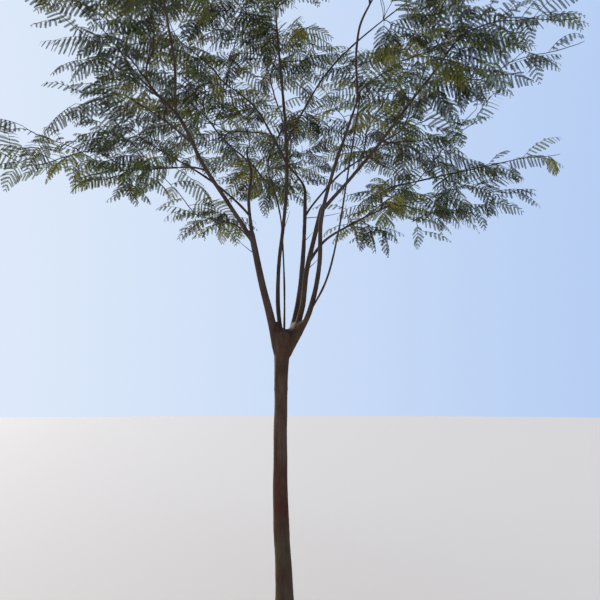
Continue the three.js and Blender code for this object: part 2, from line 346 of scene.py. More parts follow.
def cross_directions(path):
    """Directions along a path, and two across it that turn as little as they can from point to point."""
    along = directions_along(path)
    nearly_upright = abs(along[0][2]) >= 0.9
    side = np.cross(along[0], [1.0, 0.0, 0.0] if nearly_upright else UP)
    sides = []
    for direction in along:
        side = unit(side - direction * (side @ direction))
        sides.append(side)
    return along, np.array(sides), np.cross(along, sides)


# Meshes

class Pile:
    """Points and triangles of many small shapes, to be joined into one piece."""

    def __init__(self):
        self.points = []
        self.faces = []
        self.count = 0

    def add(self, points, faces):
        self.points.append(points)
        self.faces.append(faces + self.count)
        self.count += len(points)

    def mesh(self, name):
        points = np.concatenate(self.points)
        faces = np.concatenate(self.faces)
        mesh = bpy.data.meshes.new(name)
        mesh.vertices.add(len(points))
        mesh.vertices.foreach_set("co", points.ravel())
        mesh.loops.add(faces.size)
        mesh.loops.foreach_set("vertex_index", faces.ravel())
        mesh.polygons.add(len(faces))
        mesh.polygons.foreach_set("loop_start", np.arange(0, faces.size, 3))
        mesh.update(calc_edges=True)
        return mesh


def rows_of(items, what, width=3, kind=float):
    """What a mesh says of each of its points, edges or triangles."""
    values = np.empty(len(items) * width, kind)
    items.foreach_get(what, values)
    return values.reshape(-1, width)


def triangles_of(mesh):
    mesh.calc_loop_triangles()
    return rows_of(mesh.loop_triangles, "vertices", kind=int)


def move_points(mesh, points):
    mesh.vertices.foreach_set("co", points.ravel())
    mesh.update()


def tube(path, radii, sides):
    """Points and triangles of a closed tube. Its radii are one for each point, or one for each side too."""
    _, across, over = cross_directions(path)
    angles = np.arange(sides) * 2 * math.pi / sides
    radii = np.broadcast_to(np.asarray(radii).reshape(len(path), -1), (len(path), sides))[..., None]
    round_it = across[:, None] * np.cos(angles)[:, None] + over[:, None] * np.sin(angles)[:, None]
    rings = (path[:, None] + radii * round_it).reshape(-1, 3)
    index = np.arange(len(rings)).reshape(-1, sides)
    after = np.roll(index, -1, axis=1)
    first = np.full(sides, len(rings))
    faces = [
        (index[:-1], after[:-1], after[1:]),
        (index[:-1], after[1:], index[1:]),
        (first, after[0], index[0]),
        (first + 1, index[-1], after[-1]),
    ]
    faces = np.concatenate([np.stack(corners, axis=-1).reshape(-1, 3) for corners in faces])
    return np.concatenate([rings, path[:1], path[-1:]]), faces


def new_piece(name, mesh, material, nodes, smooth=True):
    """A visible piece of the tree that stands for some CAD nodes."""
    mesh.polygons.foreach_set("use_smooth", np.full(len(mesh.polygons), smooth))
    mesh.materials.append(material)
    piece = bpy.data.objects.new(name, mesh)
    bpy.context.scene.collection.objects.link(piece)
    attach(piece, "root")
    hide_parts(*nodes)


# What the camera sees

def make_camera():
    """A camera that sees the tree as the photograph shows it."""
    data = bpy.data.cameras.new("camera")
    data.lens = LENS
    data.sensor_width = SENSOR
    camera = bpy.data.objects.new("camera", data)
    camera.location = (VIEW_ASIDE, -VIEW_DISTANCE, EYE_HEIGHT)
    camera.rotation_euler = (math.radians(90 + VIEW_PITCH), 0, 0)
    bpy.context.scene.collection.objects.link(camera)
    bpy.context.scene.camera = camera


def seen_at(point):
    """Where the camera sees a point, in pixels of the photograph."""
    pitch = math.radians(VIEW_PITCH)
    aside, ahead, above = point - np.array(bpy.context.scene.camera.location)
    depth = ahead * math.cos(pitch) + above * math.sin(pitch)
    height = above * math.cos(pitch) - ahead * math.sin(pitch)
    scale = PHOTO_SIDE * LENS / SENSOR / depth
    return PHOTO_SIDE / 2 + aside * scale, PHOTO_SIDE / 2 - height * scale


def in_sky_gap(point):
    """Whether the camera sees a point in one of the gaps with sky."""
    u, v = seen_at(point)
    middle_u, middle_v, half_u, half_v = SKY_GAPS.T
    return np.any(((u - middle_u) / half_u) ** 2 + ((v - middle_v) / half_v) ** 2 < 1)


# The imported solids

def solid_points(node):
    """The different corners of a CAD node."""
    return np.unique(rows_of(frame["nodes"][node].data.vertices, "co").round(5), axis=0)


def solid_tree(node):
    """A search tree of the surface of a CAD node."""
    mesh = frame["nodes"][node].data
    return BVHTree.FromPolygons([v.co for v in mesh.vertices], [p.vertices for p in mesh.polygons])


class Mass:
    """The space that a mass of foliage fills."""

    def __init__(self, node):
        self.node = node
        self.tree = solid_tree(node)
        points = solid_points(node)
        self.low = points.min(axis=0)
        self.high = points.max(axis=0)
        self.middle = points.mean(axis=0)
        mesh = frame["nodes"][node].data
        one, two, three = rows_of(mesh.vertices, "co")[triangles_of(mesh)].transpose(1, 0, 2)
        self.volume = abs(np.sum(one * np.cross(two, three))) / 6

    def holds(self, point, margin=0):
        """Whether a point lies in the mass, or outside it by less than a margin."""
        if np.any(point < self.low - margin) or np.any(point > self.high + margin):
            return False
        nearest, normal, _, distance = self.tree.find_nearest(Vector(point))
        return (Vector(point) - nearest).dot(normal) < 0 or distance < margin

    def gap(self, point):
        """How far a point is from the mass's outline."""
        return (Vector(point) - self.tree.find_nearest(Vector(point))[0]).length


# The lines of the trunk and limbs, from their solids

class Line:
    """A limb's middle line from its base to its end, with its radius at each point."""

    def __init__(self, path, radii):
        self.path = path
        self.radii = radii


def trunk_line():
    """The trunk's middle line, and its radii towards each of its sides at each point."""
    points = solid_points("trunk")
    heights = np.unique(points[:, 2].round(4))
    around = np.arange(TRUNK_SIDES) * 2 * math.pi / TRUNK_SIDES
    rows = []
    for height in heights:
        ring = points[np.abs(points[:, 2] - height) < TOUCHING]
        middle = (ring.min(axis=0) + ring.max(axis=0)) / 2
        x, y, _ = (ring - middle).T
        angles = np.arctan2(y, x) % (2 * math.pi)
        order = np.argsort(angles)
        reaches = np.interp(around, angles[order], np.hypot(x, y)[order], period=2 * math.pi)
        for _ in range(TRUNK_EVENING):
            reaches = (np.roll(reaches, 1) + reaches + np.roll(reaches, -1)) / 3
        rows.append(np.concatenate([middle, reaches]))
    steps = np.arange(heights[0] - PAST_CUT, heights[-1], LINE_STEP / 2)
    rows = smooth_through(heights, np.array(rows), steps)
    blend = np.hanning(TRUNK_BLEND)
    padded = np.pad(rows, ((TRUNK_BLEND // 2, TRUNK_BLEND // 2), (0, 0)), mode="edge")
    rows = np.apply_along_axis(np.convolve, 0, padded, blend / blend.sum(), mode="valid")
    rounding = np.clip((steps - heights[-1] + TRUNK_CROWN) / TRUNK_CROWN, 0, 1)
    return rows[:, :3], rows[:, 3:] * np.sqrt(1 - TRUNK_CLOSING * rounding**2)[:, None]


def rings_of(points):
    """Middles of the rings that the points of a limb's solid lie in."""
    left = np.ones(len(points), bool)
    middles = []
    while left.any():
        ring = np.zeros(len(points), bool)
        edge = [int(np.argmax(left))]
        while edge:
            point = edge.pop()
            near = left & ~ring & (np.linalg.norm(points - points[point], axis=1) < RING_REACH)
            ring |= near
            edge.extend(np.flatnonzero(near))
        left &= ~ring
        middles.append(points[ring].mean(axis=0))
    return np.array(middles)


def limb_rings(node, parent=None):
    """Middles and radii of a limb's rings, from the end that is near its parent or is thicker."""
    points = solid_points(node)
    middles = rings_of(points)
    ends = np.linalg.norm(middles[:, None] - middles, axis=2)
    base, other = np.unravel_index(np.argmax(ends), ends.shape)
    if parent is not None:
        gaps = [np.linalg.norm(parent.path - middles[end], axis=1).min() for end in (base, other)]
        base = base if gaps[0] < gaps[1] else other
    middles = middles[np.argsort(ends[base])]
    along = directions_along(middles)
    nearest = np.argmin(np.linalg.norm(points[:, None] - middles, axis=2), axis=1)
    spokes = points - middles[nearest]
    spokes -= along[nearest] * np.sum(spokes * along[nearest], axis=1)[:, None]
    reaches = np.linalg.norm(spokes, axis=1)
    radii = np.array([np.median(reaches[nearest == ring]) for ring in range(len(middles))])
    if parent is None and radii[0] < radii[-1]:
        middles, radii = middles[::-1], radii[::-1]
    radii[0] = min(radii[0], BASE_SWELL * radii[1])
    return middles, radii


def root_on(parent, base, radius):
    """The point of its parent's line where a limb starts, some way before the one nearest its base."""
    along = distances_along(parent.path)
    nearest = int(np.argmin(np.linalg.norm(parent.path - base, axis=1)))
    back = ROOT_DEPTH * parent.radii[nearest] + radius
    return int(np.searchsorted(along, max(0, along[nearest] - back)))


def nearest_root(lines, base, along):
    """Where a limb that comes out of a mass starts: the line and point from which it bends the least."""
    best = None
    for name, line in lines.items():
        ways = base - line.path
        lengths = np.maximum(np.linalg.norm(ways, axis=1), 1e-6)
        straight = (ways @ along + np.sum(ways * directions_along(line.path), axis=1)) / lengths
        costs = lengths * (1 + TURN_COST * (2 - straight))
        index = int(np.argmin(costs))
        if best is None or costs[index] < best[0]:
            best = (costs[index], name, index)
    return best


def carried_mass(end, masses):
    """The mass that a limb ends at, or nothing where its end carries other limbs."""
    gap, index = min((mass.gap(end), index) for index, mass in enumerate(masses))
    return masses[index] if gap < ENTERS_MASS else None


def end_in_mass(base, along, mass):
    """Where a limb ends in the mass that it carries: as straight ahead as the mass reaches."""
    ahead = base + along * np.linalg.norm(mass.middle - base)
    ends = [lerp(ahead, mass.middle, share) for share in TOWARDS_MIDDLE]
    return next((end for end in ends if mass.holds(end)), mass.middle)


def limb_line(middles, radii, root, heading, carried):
    """A limb's line from its root, through the rings of its solid, and on into the mass that it carries."""
    line = [root, *middles]
    radii = [radii[0], *radii]
    if carried is not None:
        line.append(end_in_mass(line[-1], unit(line[-1] - line[-2]), carried))
        radii.append(radii[-1] * END_WIDTH)
    knots = distances_along(np.array(line))
    radii = np.minimum.accumulate(radii)
    places = np.linspace(0, knots[-1], max(4, int(knots[-1] / LINE_STEP)))
    rows = smooth_through(knots, np.column_stack([line, radii]), places, heading)
    if carried is None:
        closing = np.clip((places - knots[-1] + STUB) / STUB, 0, 1)
        rows[:, 3] *= np.sqrt(1 - STUB_CLOSING * closing**2)
    return Line(rows[:, :3], rows[:, 3])


def limb_lines(trunk, masses):
    """Every limb's line, in the order in which the limbs grow from the trunk and from each other."""
    wood = sorted(node for node in frame["nodes"] if not node.endswith("_mass") and node != "trunk")
    trees = {node: solid_tree(node) for node in [*wood, "trunk"]}
    corners = {node: solid_points(node) for node in wood}
    lines = {"trunk": trunk}
    grown = ["trunk"]
    waiting = list(wood)

    def touches(node, parent):
        near = (trees[parent].find_nearest(Vector(corner), TOUCHING) for corner in corners[node])
        return any(place is not None for place, *_ in near)

    def grow_limb(node, middles, radii, parent, index):
        root = parent.path[index]
        if parent is trunk:
            root = root + unit((middles[0] - root) * [1, 1, 0]) * ROOT_ASIDE * parent.radii[index]
        heading = unit(directions_along(parent.path)[index] * ROOT_BEND + unit(middles[0] - root))
        lines[node] = limb_line(middles, radii, root, heading, carried_mass(middles[-1], masses))
        waiting.remove(node)
        grown.append(node)

    while waiting:
        while grown:
            parent = grown.pop(0)
            for node in [node for node in waiting if touches(node, parent)]:
                middles, radii = limb_rings(node, lines[parent])
                index = root_on(lines[parent], middles[0], radii[0])
                if len(middles) > 2:
                    middles, radii = middles[1:], radii[1:]
                grow_limb(node, middles, radii, lines[parent], index)
        if waiting:
            found = []
            for node in waiting:
                middles, _ = limb_rings(node)
                found.append((*nearest_root(lines, middles[0], unit(middles[1] - middles[0])), node))
            _, parent, index, node = min(found)
            grow_limb(node, *limb_rings(node), lines[parent], index)
    return lines


# Branching

class Branch:
    """A limb, or a shoot that starts on its parent at one of the parent's points."""

    def __init__(self, path, parent, start):
        self.path = path
        self.parent = parent
        self.start = start
        self.leafy = False


class Growth:
    """The growing skeleton: places where a new branch can start, and the branches made so far."""

    def __init__(self):
        self.places = np.empty((0, 3))
        self.directions = np.empty((0, 3))
        self.reaches = np.empty(0)
        self.owners = np.empty(0, int)
        self.indices = np.empty(0, int)
        self.branches = []

    def add(self, path, reach, parent=None, start=0):
        """A branch along a path, whose base is that far from the ground along the wood."""
        self.places = np.vstack([self.places, path])
        self.directions = np.vstack([self.directions, directions_along(path)])
        self.reaches = np.concatenate([self.reaches, reach + distances_along(path)])
        self.owners = np.concatenate([self.owners, np.full(len(path), len(self.branches))])
        self.indices = np.concatenate([self.indices, np.arange(len(path))])
        self.branches.append(Branch(path, parent, start))

    def shoots(self):
        return [branch for branch in self.branches if branch.parent is not None]


def shoot_ends(mass, taken, random):
    """Places for the ends of the shoots in a mass, well apart from each other and from the ends so far."""
    fullness = FULLNESS.get(mass.node.removesuffix("_mass"), 1)
    count = max(1, round(mass.volume * SHOOTS_PER_CUBIC_METRE * fullness))
    choices = []
    while len(choices) < CHOICES_PER_SHOOT * count:
        point = lerp(mass.low, mass.high, random.random(3))
        end = mass.middle + (point - mass.middle) * SHOOT_SPREAD
        if mass.holds(point) and not in_sky_gap(end):
            choices.append(end)
    choices = np.array(choices)
    ends = []
    while len(ends) < count:
        others = np.array([*taken, *ends, [0, 0, 0]])
        apart = np.min(np.linalg.norm(choices[:, None] - others, axis=2), axis=1)
        ends.append(choices[np.argmax(apart)])
    return ends


def curved_path(start, out, end, into):
    """A path that leaves a place in one direction and arrives at another in a second one."""
    span = np.linalg.norm(end - start)
    first = start + out * span * CURVE_REACH
    last = end - into * span * CURVE_REACH
    t = np.linspace(0, 1, max(4, int(span / BRANCH_STEP) + 1))[:, None]
    return (1 - t) ** 3 * start + 3 * t * (1 - t) ** 2 * first + 3 * t**2 * (1 - t) * last + t**3 * end


def outward(point, middle, rise):
    """The direction in which a shoot ends: away from the trunk and from its mass's middle, and upwards."""
    direction = unit(point * [1, 1, 0] + 1e-6) + unit((point - middle) * [1, 1, 0] + 1e-6) * OUT_OF_MASS
    direction[2] = 0
    return unit(unit(direction) + UP * rise)


def grow_branches(lines, masses, random):
    """The limbs, and the shoots in the masses, each from where the way to its end is short and easy."""
    growth = Growth()
    for node, line in lines.items():
        if node != "trunk":
            growth.add(line.path[:: int(BRANCH_STEP / LINE_STEP)], line.path[0][2])
    ends = []
    for mass in masses:
        taken = [end for end, _ in ends]
        ends.extend((end, mass) for end in shoot_ends(mass, taken, random))
    places = np.array([end for end, _ in ends])
    waiting = np.ones(len(ends), bool)
    while waiting.any():
        open_ends = np.flatnonzero(waiting)
        usable = np.flatnonzero(growth.places[:, 2] > LOWEST_SHOOT)
        ways = places[open_ends][:, None] - growth.places[usable]
        lengths = np.linalg.norm(ways, axis=2)
        bends = 1 - np.einsum("ijk,jk->ij", ways, growth.directions[usable]) / np.maximum(lengths, 1e-6)
        costs = lengths * (1 + TURN_COST * bends) + DETOUR_COST * growth.reaches[usable]
        chosen, root = np.unravel_index(np.argmin(costs), costs.shape)
        chosen, root = open_ends[chosen], usable[root]
        waiting[chosen] = False
        end, mass = ends[chosen]
        start = growth.places[root]
        way = unit(end - start)
        out = unit(growth.directions[root] * KEPT_HEADING + way)
        into = outward(end, mass.middle, random.uniform(*END_RISE))
        path = curved_path(start, out, end, unit(into + way * KEPT_WAY))
        wiggle = random.normal(0, WIGGLE, (len(path), 3))
        wiggle[0] = 0
        path = path + np.cumsum(wiggle, axis=0)
        growth.add(path, growth.reaches[root], growth.owners[root], growth.indices[root])
    return growth


def living_shoots(growth):
    """The paths of the shoots that carry leafy shoots or are leafy, with radii that grow with their load."""
    loads = [np.zeros(len(branch.path)) for branch in growth.branches]
    for branch, load in zip(reversed(growth.branches), reversed(loads)):
        if branch.parent is not None:
            load += branch.leafy
            loads[branch.parent][: branch.start + 1] += load[0]
    for branch, load in zip(growth.branches, loads):
        if branch.parent is not None and load[0] > 0:
            radii = TIP_RADIUS * np.maximum(load, 1) ** LOAD_POWER
            radii[-len(TIP_TAPER):] *= TIP_TAPER
            yield branch.path, radii


def bare_twig(line, height, heading, lift, length):
    """A thin, leafless shoot that leaves a limb at a height and bends upwards a little."""
    start = line.path[int(np.argmin(np.abs(line.path[:, 2] - height)))]
    way = direction_of(math.radians(heading), math.radians(lift))
    share = np.linspace(0, 1, BARE_TWIG_STEPS)[:, None]
    path = start + way * length * share + UP * length * BARE_TWIG_BEND * share**2
    return path, np.linspace(*BARE_TWIG_RADII, BARE_TWIG_STEPS)


# Where leaves grow

def room_for_leaf(base, heading, lift, masses):
    """How long a leaf at a place can be before it leaves the crown or hides a gap in it."""
    room = 0
    for reach in TRIED_LENGTHS:
        point = base + direction_of(heading, lift - TRIED_DROOP * reach) * reach
        if in_sky_gap(point):
            return min(room, reach - GAP_MARGIN)
        if any(mass.holds(point, PAST_OUTLINE) for mass in masses):
            room = reach
    return room


def points_along(base, heading, lift, length, shares):
    """Places along a leaf's stalk, as if it were straight."""
    return [base + direction_of(heading, lift) * length * share for share in shares]


def limb_sights(lines):
    """Where the camera sees the thicker limbs, in pixels, and how far back they are."""
    return np.array([
        (*seen_at(point), point[1])
        for line in lines.values()
        for point, radius in zip(line.path[::SIGHT_STEP], line.radii[::SIGHT_STEP])
        if radius > SEEN_RADIUS
    ])


def hides_limb(base, heading, lift, length, sights):
    """Whether a leaf hangs before a limb that the photograph shows."""
    for point in points_along(base, heading, lift, length, (0.3, 0.6, 0.9)):
        u, v = seen_at(point)
        near = np.hypot(sights[:, 0] - u, sights[:, 1] - v) < SIGHT_WIDTH
        if np.any(near & (sights[:, 2] > point[1] + BEFORE_LIMB)):
            return True
    return False


def thin_out(plans, random):
    """The leaves that are left when the places where too many lie behind each other are made thinner."""
    layers = {}
    kept = []
    for index in random.permutation(len(plans)):
        _, _, (base, heading, lift, _, length) = plans[index]
        places = points_along(base, heading, lift - VIEW_DROOP, length, (0.2, 0.4, 0.6, 0.8, 1))
        cells = [(int(u // VIEW_CELL), int(v // VIEW_CELL)) for u, v in map(seen_at, places)]
        if sum(layers.get(cell, 0) for cell in cells) / len(cells) < MOST_LAYERS:
            kept.append(index)
            for cell in cells:
                layers[cell] = layers.get(cell, 0) + 1
    return [plans[index] for index in sorted(kept)]


def plan_leaves(growth, lines, masses, random):
    """Leaves in a spiral round the end of every shoot: the shoot, its shade, and the leaf's shape."""
    plans = []
    sights = limb_sights(lines)
    for shoot in growth.shoots():
        knots = distances_along(shoot.path)
        leafy = min(LEAFY_LENGTH, knots[-1] * MOST_LEAFY)
        count = random.integers(*LEAVES_PER_SHOOT)
        # the colour leans from painted sunlight through the leaves inside the crown to painted shade at its
        # edge
        reach = min(1, math.hypot(*shoot.path[-1][:2]) / CROWN_REACH)
        shade = random.choice(len(LEAF_COLORS), p=lerp(INNER_SHADES, OUTER_SHADES, reach))
        turn = random.uniform(0, 2 * math.pi)
        along, across, over = cross_directions(shoot.path)
        for number in range(count):
            share = number / max(1, count - 1)
            place = knots[-1] - leafy * (1 - share)
            base = rows_at([place], knots, shoot.path)[0]
            index = int(np.searchsorted(knots, place).clip(0, len(knots) - 1))
            turn += GOLDEN_ANGLE + random.normal(0, SPIRAL_UNEVEN)
            lean = math.radians(lerp(*LEAF_LEAN, share) + random.normal(0, LEAN_UNEVEN))
            radial = across[index] * math.cos(turn) + over[index] * math.sin(turn)
            x, y, z = along[index] * math.cos(lean) + radial * math.sin(lean)
            heading = math.atan2(y, x)
            lift = math.asin(np.clip(z, -1, 1)) * LIFT_KEPT + math.radians(random.uniform(*LIFT_MORE))
            room = room_for_leaf(base, heading, lift, masses)
            if room < LEAST_ROOM:
                continue
            length = float(np.clip(room * ROOM_FILLED, *LEAF_LENGTH)) * random.uniform(*LENGTH_UNEVEN)
            if random.random() < CLEARED_SHARE and hides_limb(base, heading, lift, length, sights):
                continue
            roll = random.normal(0, ROLL_UNEVEN)
            plans.append((shoot, shade, (base, heading, lift, roll, length)))
    return thin_out(plans, random)


# Leaves

def leaf_stalk(base, heading, lift, roll, length, random):
    """The points of a leaf's drooping stalk, and the directions along, over and beside the leaf there."""
    steps = np.linspace(0, 1, STALK_STEPS + 1)
    droop = math.radians(random.uniform(*LEAF_DROOP) + np.interp(base[2], DROOP_HEIGHTS, DROOP_MORE))
    slope = lift - (lift + droop) * steps**DROOP_POWER
    turn = heading + random.uniform(-LEAF_TURN, LEAF_TURN) * steps
    along = direction_of(turn, slope)
    flat_up = direction_of(turn, slope + math.pi / 2)
    flat_side = np.cross(along, flat_up)
    over = flat_up * math.cos(roll) + flat_side * math.sin(roll)
    side = flat_side * math.cos(roll) - flat_up * math.sin(roll)
    middles = (along[1:] + along[:-1]) / 2
    path = base + np.vstack([np.zeros(3), np.cumsum(middles, axis=0)]) * length / STALK_STEPS
    return path, along, over, side


class Pinnae:
    """The pinnae of a leaf. Each has an inner half, which stands out, and an outer half, which sinks."""

    def __init__(self, stalk, length, random):
        pairs = int(length * (1 - PINNAE_FROM) / PINNA_SPACING)
        count = 2 * pairs
        share = np.repeat(np.linspace(0, 1, pairs), 2)
        place = lerp(PINNAE_FROM, PINNAE_TO, share)
        steps = np.linspace(0, 1, STALK_STEPS + 1)
        start, ahead, above, aside = (rows_at(place, steps, rows) for rows in stalk)
        hand = np.tile([1.0, -1.0], pairs)[:, None]
        spread = np.radians(lerp(*PINNA_SPREAD, share) + random.normal(0, SPREAD_UNEVEN, count))[:, None]
        sag = np.radians(random.uniform(*PINNA_SAG) + random.normal(0, SAG_UNEVEN, count))[:, None]
        sideways = aside * hand * np.cos(sag) - above * np.sin(sag)
        self.inner = unit(ahead * np.cos(spread) + sideways * np.sin(spread))
        self.outer = unit(self.inner - UP * OUTER_SINK + ahead * OUTER_AHEAD)
        outline = (0.6 + 0.4 * np.sin(math.pi * share**0.8)) * (1 - 0.45 * share**3)
        self.reach = length * PINNA_SHARE * outline * random.normal(1, PINNA_UNEVEN, count)
        self.start = start
        self.bend = start + self.inner * self.reach[:, None] / 2
        self.tip = self.bend + self.outer * self.reach[:, None] / 2
        self.above = above
        self.size = 1 - TIP_SHRINK * share**6
        self.twist = random.normal(0, LEAFLET_TWIST, count)

    def leaflets(self):
        """The four corners of every pair of leaflets, which lie across their pinna as one face."""
        count = np.maximum(FEWEST_LEAFLETS, (self.reach / LEAFLET_SPACING).astype(int))
        pinna, index = np.nonzero(np.arange(count.max()) < count[:, None])
        q = (index + FIRST_LEAFLET) / count[pinna]
        past = (q > 0.5)[:, None]
        start, bend, tip = self.start[pinna], self.bend[pinna], self.tip[pinna]
        centre = np.where(past, lerp(bend, tip, (2 * q - 1)[:, None]), lerp(start, bend, (2 * q)[:, None]))
        forward = np.where(past, self.outer[pinna], self.inner[pinna])
        above = self.above[pinna]
        face = unit(above - forward * np.sum(above * forward, axis=1)[:, None])
        twist = self.twist[pinna][:, None]
        across = np.cross(forward, face) * np.cos(twist) + face * np.sin(twist)
        widths = (0.62 + 0.38 * np.sin(math.pi * q) ** 0.6) * self.size[pinna]
        half = across * (LEAFLET_REACH * widths)[:, None]
        ahead = forward * LEAFLET_WIDTH / 2
        corners = [centre - half - ahead, centre + half - ahead, centre + half + ahead, centre - half + ahead]
        return np.stack(corners, axis=1)

    def ribs(self):
        """The four corners of the rib of each half of every pinna."""
        rib = unit(np.cross(self.inner, self.above)) * RIB_WIDTH
        return np.concatenate([
            np.stack([self.start - rib, self.start + rib, self.bend + rib, self.bend - rib], axis=1),
            np.stack([self.bend - rib, self.bend + rib, self.tip + rib / 2, self.tip - rib / 2], axis=1),
        ])


def leaf(base, heading, lift, roll, length, random):
    """The blades and the stalk of one twice-divided leaf, each as points and triangles."""
    stalk = leaf_stalk(base, heading, lift, roll, length, random)
    pinnae = Pinnae(stalk, length, random)
    corners = np.concatenate([pinnae.leaflets(), pinnae.ribs()])
    first = np.arange(len(corners))[:, None] * 4
    faces = np.concatenate([first + [0, 1, 2], first + [0, 2, 3]])
    radii = np.linspace(*STALK_RADII, STALK_STEPS + 1)
    return (corners.reshape(-1, 3), faces), tube(stalk[0], radii, STALK_SIDES)


# The form of the bark

def limb_tube(line, sides):
    """A limb that starts thin inside its parent and swells where it comes out."""
    along = distances_along(line.path) / line.radii[0]
    collar = 1 + COLLAR_SWELL * np.exp(-along / COLLAR_REACH)
    root = np.interp(along, [0, ROOT_TAPER], [ROOT_WIDTH, 1])
    return tube(line.path, line.radii * (collar * root), sides)


def crotch_webs(limbs):
    """Closed tubes that fill the crotches between the limbs that leave the trunk near each other."""
    heights = np.arange(FORK_HEIGHT - WEB_DEPTH, WEB_TOP, LINE_STEP)
    rows = [
        rows_at(heights, line.path[:, 2], np.column_stack([line.path, line.radii]))
        for line in limbs if line.path[0][2] < FORK_HEIGHT
    ]
    for index, one in enumerate(rows):
        for other in rows[index + 1:]:
            wide = np.flatnonzero(np.linalg.norm(one[:, :2] - other[:, :2], axis=1) > WEB_WIDTH)
            count = int(wide[0]) if len(wide) else len(heights)
            if count < FEWEST_WEB_STEPS:
                continue
            rounding = np.clip((np.arange(count) - count + 1 + WEB_ROUNDING) / WEB_ROUNDING, 0, 1)
            radii = np.minimum(one[:count, 3], other[:count, 3]) * WEB_THICKNESS
            radii *= np.sqrt(1 - WEB_CLOSING * rounding**2)
            for share in WEB_SHARES:
                yield tube(lerp(one[:count, :3], other[:count, :3], share), radii, LIMB_SIDES)


def one_skin(pile):
    """One skin round all the tubes of a pile."""
    rough = bpy.data.objects.new("rough_bark", pile.mesh("rough_bark"))
    bpy.context.scene.collection.objects.link(rough)
    remesh = rough.modifiers.new("remesh", "REMESH")
    remesh.mode = "VOXEL"
    remesh.voxel_size = BARK_GRAIN
    smoothing = rough.modifiers.new("smooth", "SMOOTH")
    smoothing.iterations = BARK_SMOOTHING
    smoothing.factor = 0.5
    mesh = bpy.data.meshes.new_from_object(rough.evaluated_get(bpy.context.evaluated_depsgraph_get()))
    bpy.data.objects.remove(rough)
    return mesh


def fill_crotches(mesh):
    """Hollows between the limbs are filled little by little, and what stands out stays as it is."""
    points = rows_of(mesh.vertices, "co")
    faces = triangles_of(mesh)
    one, other = rows_of(mesh.edges, "vertices", 2, int).T
    count = len(points)
    neighbours = np.bincount(one, minlength=count) + np.bincount(other, minlength=count)

    def summed(targets, rows):
        return np.column_stack([np.bincount(targets, column, count) for column in rows.T])

    for _ in range(CROTCH_FILLING):
        corners = points[faces]
        face_normals = np.cross(corners[:, 1] - corners[:, 0], corners[:, 2] - corners[:, 0])
        normals = sum(summed(faces[:, corner], face_normals) for corner in range(3))
        normals = normals / np.maximum(np.linalg.norm(normals, axis=1, keepdims=True), 1e-12)
        means = (summed(one, points[other]) + summed(other, points[one])) / neighbours[:, None]
        rises = np.sum((means - points) * normals, axis=1)
        points = points + normals * (np.maximum(rises, 0) * FILLING_SHARE)[:, None]
    move_points(mesh, points)


def bark_relief(mesh):
    """Low swellings, upright streaks and faint rings on the bark, as moves of the mesh's points."""
    points = rows_of(mesh.vertices, "co")
    heights = points[:, 2]
    relief = sum(np.array([noise.noise(p) for p in points * fineness]) * depth for fineness, depth in RELIEF)
    seam = np.exp(-((heights - SEAM_HEIGHT) / SEAM_WIDTH) ** 2) * SEAM_RISE
    slim = np.interp(heights, SLIM_HEIGHTS, SLIM_BY)
    moves = relief * np.interp(heights, RELIEF_HEIGHTS, RELIEF_SHARES) + seam - slim
    move_points(mesh, points + rows_of(mesh.vertices, "normal") * moves[:, None])


def cut_at_ground(mesh):
    """The trunk ends in a flat cut at the level of the ground."""
    body = bmesh.new()
    body.from_mesh(mesh)
    whole = [*body.verts, *body.edges, *body.faces]
    cut = bmesh.ops.bisect_plane(body, geom=whole, plane_co=(0, 0, 0), plane_no=(0, 0, -1), clear_outer=True)
    rim = [part for part in cut["geom_cut"] if isinstance(part, bmesh.types.BMEdge)]
    bmesh.ops.holes_fill(body, edges=rim)
    for point in body.verts:
        point.co.z = max(point.co.z, 0)
    body.to_mesh(mesh)
    body.free()


# Materials

class Patterns:
    """Nodes that make colours and heights out of places."""

    def __init__(self, tree):
        self.tree = tree

    def put(self, socket, value):
        """Sets a socket to a value, or links another one to it."""
        if isinstance(value, bpy.types.NodeSocket):
            self.tree.links.new(value, socket)
        else:
            socket.default_value = value

    def node(self, kind, **inputs):
        """A new node whose named inputs are set or linked."""
        node = self.tree.nodes.new(kind)
        for name, value in inputs.items():
            self.put(node.inputs[name.replace("_", " ")], value)
        return node

    def between(self, value, low, high, start=0, end=1):
        """The start below one value, and the end above the other."""
        span = self.node("ShaderNodeMapRange", Value=value, From_Min=low, From_Max=high)
        self.put(span.inputs["To Min"], start)
        self.put(span.inputs["To Max"], end)
        return span.outputs["Result"]

    def ramp(self, factor, stops):
        """Colours by a factor."""
        ramp = self.node("ShaderNodeValToRGB", Fac=factor)
        points = ramp.color_ramp.elements
        while len(points) < len(stops):
            points.new(0.5)
        for point, (place, color) in zip(points, stops):
            point.position = place
            point.color = (*color, 1)
        return ramp.outputs["Color"]


